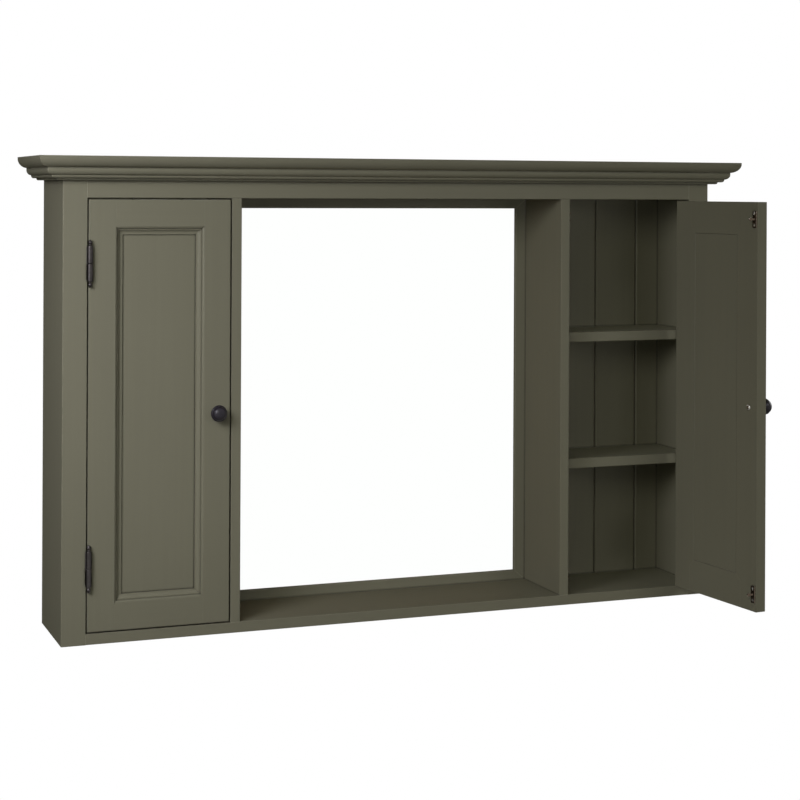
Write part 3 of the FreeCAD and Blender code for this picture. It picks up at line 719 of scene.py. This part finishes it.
def bent_leaf(side, upper, offset_mm):
    """A leaf beside the pin's axis, with its tab at the half where its knuckle is."""
    bpy.ops.object.select_all(action="DESELECT")
    middle = (side * (offset_mm + LEAF_THICKNESS_MM / 2) * MM,
              (LEAF_START_MM + LEAF_WIDTH_MM / 2) * MM, 0)
    size = (LEAF_THICKNESS_MM * MM, LEAF_WIDTH_MM * MM, 2 * LEAF_HALF_HEIGHT_MM * MM)
    bpy.ops.mesh.primitive_cube_add(size=1, location=middle, scale=size)
    leaf = bpy.context.object
    bpy.ops.object.transform_apply(location=True, rotation=False, scale=True)
    bpy.ops.object.mode_set(mode="EDIT")
    bpy.ops.mesh.select_all(action="SELECT")
    start = KNUCKLE_START_MM * MM
    bpy.ops.mesh.bisect(plane_co=(0, 0, upper * start), plane_no=(0, 0, 1))
    pick_faces(lambda centre, normal: normal.y < -END_FACE and centre.z * upper > start)
    forward = (0, -LEAF_START_MM * MM, 0)
    bpy.ops.mesh.extrude_region_move(TRANSFORM_OT_translate={"value": forward})
    bpy.ops.object.mode_set(mode="OBJECT")
    soften = leaf.modifiers.new("soften", "BEVEL")
    soften.width = LEAF_SOFTENED_MM * MM
    soften.segments = 2
    soften.limit_method = "ANGLE"
    bpy.ops.object.modifier_apply(modifier=soften.name)
    return leaf


def hinge_half(side, upper, offset_mm):
    """One leaf with its knuckle, for the left (-1) or right (1) side of the cabinet."""
    knuckle = turned_knuckle(upper)
    leaf = bent_leaf(side, upper, offset_mm)
    only(knuckle)
    leaf.select_set(True)
    bpy.ops.object.join()
    clean_up(knuckle, "hinge_half", blackened_steel)
    print("hinge half:", len(knuckle.data.polygons), "faces")
    return knuckle


# %% Hang the hinge halves
def hang(half, side, moved=UNMOVED):
    """Copies of a hinge half at the hinge heights, on one side's axis."""
    copies = []
    for height in HINGE_HEIGHTS:
        place = Matrix.Translation((side * axis.x, axis.y, height * MM))
        copies.append(copied(half, moved @ place, UNMOVED))
    discard(half)
    return copies


frame_halves = [half for side in (-1, 1)
                for half in hang(hinge_half(side, -1, FRAME_LEAF_OFFSET_MM), side)]
joined(frame_halves, "cabinet_hinge_halves", "cabinet", "hinge_frame_leaves")
left_halves = hang(hinge_half(-1, 1, DOOR_LEAF_OFFSET_MM), -1)
joined(left_halves, "left_door_hinge_halves", "left_door", "left_door_hinge_leaves")
right_halves = hang(hinge_half(1, 1, DOOR_LEAF_OFFSET_MM), 1, opened)
joined(right_halves, "right_door_hinge_halves", "right_door", "right_door_hinge_leaves")

# %% [markdown]
# ## Black lacquer on the knobs
# The knobs are cast iron under a black lacquer with a slight violet cast. Lacquer is not a
# metal to the eye: it is a dark colour under a clear satin skin. A soft bump of a few
# hundredths keeps the memory of the casting, so highlights are not perfect ellipses.

# %% The knobs' finish
KNOB_COLOUR = "#1A171B"
KNOB_RUBBED = "#2A262C"
LACQUER_IOR = 1.52
LACQUER_SPECULAR = 0.2
LACQUER_ROUGH = (0.30, 0.42)
CASTING_MM = 3.5
CASTING_DEPTH_MM = 0.08


def black_lacquer(name):
    """Satin black lacquer over cast iron."""
    material, tree, output = new_finish(name)
    place = add(tree, "ShaderNodeTexCoord").outputs["Object"]
    casting = add(tree, "ShaderNodeTexNoise", {"Scale": 1 / (CASTING_MM * MM), "Detail": 3.0},
                  {"Vector": place}).outputs["Fac"]
    colour = add(tree, "ShaderNodeMix", {"A": linear(KNOB_COLOUR), "B": linear(KNOB_RUBBED)},
                 {"Factor": casting}, data_type="RGBA")
    gloss = add(tree, "ShaderNodeMapRange",
                {"To Min": LACQUER_ROUGH[0], "To Max": LACQUER_ROUGH[1]}, {"Value": casting})
    relief = add(tree, "ShaderNodeBump", {"Strength": 0.25, "Distance": CASTING_DEPTH_MM * MM},
                 {"Height": casting})
    lacquer = add(tree, "ShaderNodeBsdfPrincipled",
                  {"IOR": LACQUER_IOR, "Specular IOR Level": LACQUER_SPECULAR},
                  {"Base Color": colour.outputs["Result"], "Roughness": gloss.outputs[0],
                   "Normal": relief.outputs[0]})
    tree.links.new(lacquer.outputs[0], output.inputs[0])
    return material


lacquered_iron = black_lacquer("black_lacquered_iron")
print(lacquered_iron.name, "is ready")

# %% [markdown]
# ## Turned knobs
# The knob is a small mushroom: a foot, a waist, a rim with a rounded edge and a dome that
# rises out of a fine groove inside the rim. That groove gives the dark ring with a bright
# crescent that a plain ball doesn't have. It is turned like the finials, from a thin disc
# whose end face is drawn out ring by ring along Z, and then laid down to point out of the
# door. The dome's rings come from an ellipse.

# %% Turn the knob
KNOB_SIDES = 64
KNOB_FOOT_MM = 8.5
KNOB_DISC_MM = 1.4
KNOB_STEM_RINGS = [(8.4, 1.7), (8.0, 2.0), (7.2, 3.0), (6.7, 4.5), (6.5, 6.0), (6.6, 7.2),
                   (7.3, 8.8), (8.6, 10.3), (10.4, 11.7), (12.2, 12.8), (13.1, 13.4),
                   (13.7, 14.1), (14.0, 15.0), (13.95, 15.9), (13.75, 16.7), (13.4, 17.4),
                   (12.9, 17.9), (12.4, 18.1), (12.15, 17.95), (12.0, 17.7), (11.85, 17.7),
                   (11.75, 18.0)]
DOME_RADIUS_MM = 11.75
DOME_FOOT_MM = 18.0
DOME_RINGS = 12
DOME_STEP_DEGREES = 7.4
KNOB_TOP_MM = 26.0

dome = []
for ring in range(1, DOME_RINGS + 1):
    angle = math.radians(DOME_STEP_DEGREES * ring)
    dome.append((DOME_RADIUS_MM * math.cos(angle),
                 DOME_FOOT_MM + (KNOB_TOP_MM - DOME_FOOT_MM) * math.sin(angle)))
knob = disc(KNOB_SIDES, KNOB_FOOT_MM, 0, KNOB_DISC_MM)
bpy.ops.object.mode_set(mode="EDIT")
pick_faces(top_end)
draw_out(KNOB_STEM_RINGS + dome)
bpy.ops.object.mode_set(mode="OBJECT")
clean_up(knob, "knob_model", lacquered_iron)
print("one knob:", len(knob.data.polygons), "faces")

# %% Screw a knob on each door
knob_low, knob_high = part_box("left_door_knob")
foot = Vector(((knob_low.x + knob_high.x) / 2, knob_high.y, (knob_low.z + knob_high.z) / 2))
laid_down = Matrix.Rotation(math.pi / 2, 4, "X")
left_knob = copied(knob, Matrix.Translation(foot), laid_down)
right_foot = Matrix.Translation((-foot.x, foot.y, foot.z))
right_knob = copied(knob, opened @ right_foot, laid_down)
joined([left_knob], "left_door_turned_knob", "left_door", "left_door_knob")
joined([right_knob], "right_door_turned_knob", "right_door", "right_door_knob")
discard(knob)

# %% [markdown]
# ## What the mirror shows
# In the photograph the mirror shows only the white studio, with no image of the partition
# beside it or of the open door. Leaving the pieces in front of the cabinet's back out of
# glossy rays gives that clear white in all positions of the doors, and it keeps the dark
# edges on the ironwork. The back and the sides stay in, because they screen the ledge and
# shelves from the lamps behind. The glass is left out of diffuse rays too, so that it throws
# no light on the ledge.

# %% Keep the reflection clean
screen_kinds = ("back_board", "mirror_backing", "hanging_rail", "side_panel")
screens = [nodes[n] for n in nodes if n.startswith(screen_kinds)]
left_out = [piece for piece in bpy.context.scene.objects
            if piece.type == "MESH" and piece not in screens]
for piece in left_out:
    piece.visible_glossy = False
nodes["mirror_glass"].visible_diffuse = False
print("left out of reflections:", len(left_out))

# %% [markdown]
# ## The studio
# The cabinet hangs on a wall, so the floor is well below it, pale and matt, and catches the
# soft shadow. The background is white: the world shows white to the camera, and in front of
# the cabinet to reflections too, and gives only a quiet light to the surfaces. White behind
# the cabinet would lay a veil on its left side, which is seen at a slant.
#
# A gridded soft box close by at the left makes the light that fades towards the right door.
# A larger one stands farther off at the upper left, and a narrow one at the right reaches
# into the open bay. The mirror faces that one, so it is kept out of reflections. Three more
# stand level with the cabinet's right side, behind it and low over the floor, for the sides
# that the front lamps miss.

# %% Floor
FLOOR_BELOW_CABINET = 1.20
FLOOR_SIDE = 3.6
FLOOR_COLOUR = "#EAE8E3"
FLOOR_ROUGH = 0.8
# Real grit is finer than a millimetre; this is as coarse as it needs to be to show
FLOOR_GRIT_MM = 6.0
FLOOR_GRIT_DEPTH_MM = 0.2


def matt_floor(name):
    """Pale cement screed with a fine grit."""
    material, tree, output = new_finish(name)
    place = add(tree, "ShaderNodeTexCoord").outputs["Object"]
    grit = add(tree, "ShaderNodeTexNoise", {"Scale": 1 / (FLOOR_GRIT_MM * MM), "Detail": 3.0},
               {"Vector": place})
    relief = add(tree, "ShaderNodeBump",
                 {"Strength": 0.15, "Distance": FLOOR_GRIT_DEPTH_MM * MM},
                 {"Height": grit.outputs["Fac"]})
    screed = add(tree, "ShaderNodeBsdfPrincipled",
                 {"Base Color": linear(FLOOR_COLOUR), "Roughness": FLOOR_ROUGH},
                 {"Normal": relief.outputs[0]})
    tree.links.new(screed.outputs[0], output.inputs[0])
    return material


bpy.ops.object.select_all(action="DESELECT")
floor_height = solid_box[0][2] - FLOOR_BELOW_CABINET
bpy.ops.mesh.primitive_plane_add(size=FLOOR_SIDE, location=(0, 0, floor_height))
floor = bpy.context.object
floor.name = "studio_floor"
floor.data.materials.append(matt_floor("pale_screed"))
print("floor at", round(floor_height, 3))

# %% World
AMBIENT = 0.02
AMBIENT_COLOUR = "#FFF1DE"

world = bpy.data.worlds.new("studio_world")
world.use_nodes = True
bpy.context.scene.world = world
sky = world.node_tree
sky.nodes.clear()
rays = add(sky, "ShaderNodeLightPath")
seen = rays.outputs["Is Camera Ray"]
seen_or_mirrored = add(sky, "ShaderNodeMath", {}, {0: seen, 1: rays.outputs["Is Glossy Ray"]},
                       operation="MAXIMUM")
shown = add(sky, "ShaderNodeMath", {},
            {0: seen_or_mirrored.outputs[0], 1: rays.outputs["Is Transmission Ray"]},
            operation="MAXIMUM")
towards = add(sky, "ShaderNodeTexCoord").outputs["Generated"]
heading = add(sky, "ShaderNodeSeparateXYZ", {}, {0: towards})
in_front = add(sky, "ShaderNodeMapRange", {"From Min": 0.1, "From Max": -0.3},
               {"Value": heading.outputs["Y"]})
room = add(sky, "ShaderNodeMath", {}, {0: in_front.outputs[0], 1: seen}, operation="MAXIMUM")
lit = add(sky, "ShaderNodeMath", {}, {0: room.outputs[0], 1: shown.outputs[0]},
          operation="MULTIPLY")
quiet = add(sky, "ShaderNodeBackground", {"Color": linear(AMBIENT_COLOUR), "Strength": AMBIENT})
white = add(sky, "ShaderNodeBackground", {"Color": (1, 1, 1, 1), "Strength": 1.0})
choice = add(sky, "ShaderNodeMixShader", {},
             {0: lit.outputs[0], 1: quiet.outputs[0], 2: white.outputs[0]})
add(sky, "ShaderNodeOutputWorld", {}, {"Surface": choice.outputs[0]})
bpy.context.scene.view_settings.view_transform = "Standard"
print("world ambient", AMBIENT)

# %% Lamps
def soft_lamp(name, place, aim, side, watts, colour="#FFFFFF", beam=180):
    """A square soft box at a place, turned towards a point; its beam is in degrees."""
    turn = (Vector(aim) - Vector(place)).to_track_quat("-Z", "Y").to_euler()
    bpy.ops.object.light_add(type="AREA", location=place, rotation=turn)
    lamp = bpy.context.object
    lamp.name = name
    lamp.data.shape = "SQUARE"
    lamp.data.size = side
    lamp.data.energy = watts
    lamp.data.color = linear(colour)[:3]
    lamp.data.spread = math.radians(beam)
    lamp.visible_camera = False
    print(name, watts, "W")
    return lamp


soft_lamp("left_grid_box", place=(-1.308, -1.012, 0.242), aim=(-0.55, -0.18, -0.42),
          side=0.6, watts=7.1, colour="#F2F2FF", beam=110)
soft_lamp("far_left_soft_box", place=(-1.95, -3.26, 1.20), aim=(-0.35, -0.18, -0.35),
          side=1.4, watts=26.0, colour="#FFFFF3")
bay_lamp = soft_lamp("right_grid_box", place=(1.25, -2.55, 0.10), aim=(0.35, 0.0, -0.55),
                     side=0.8, watts=1.35, beam=60)
bay_lamp.visible_glossy = False
soft_lamp("right_side_fill", place=(2.6, 0.1, 0.3), aim=(0.6, -0.1, -0.4),
          side=1.2, watts=20.0)
soft_lamp("wall_side_fill", place=(0.9, 2.4, 0.7), aim=(0.0, 0.0, -0.4),
          side=1.6, watts=40.0)
soft_lamp("floor_wash", place=(0.0, 1.1, floor_height + 0.8), aim=(0.0, 1.1, floor_height),
          side=1.4, watts=8.0)
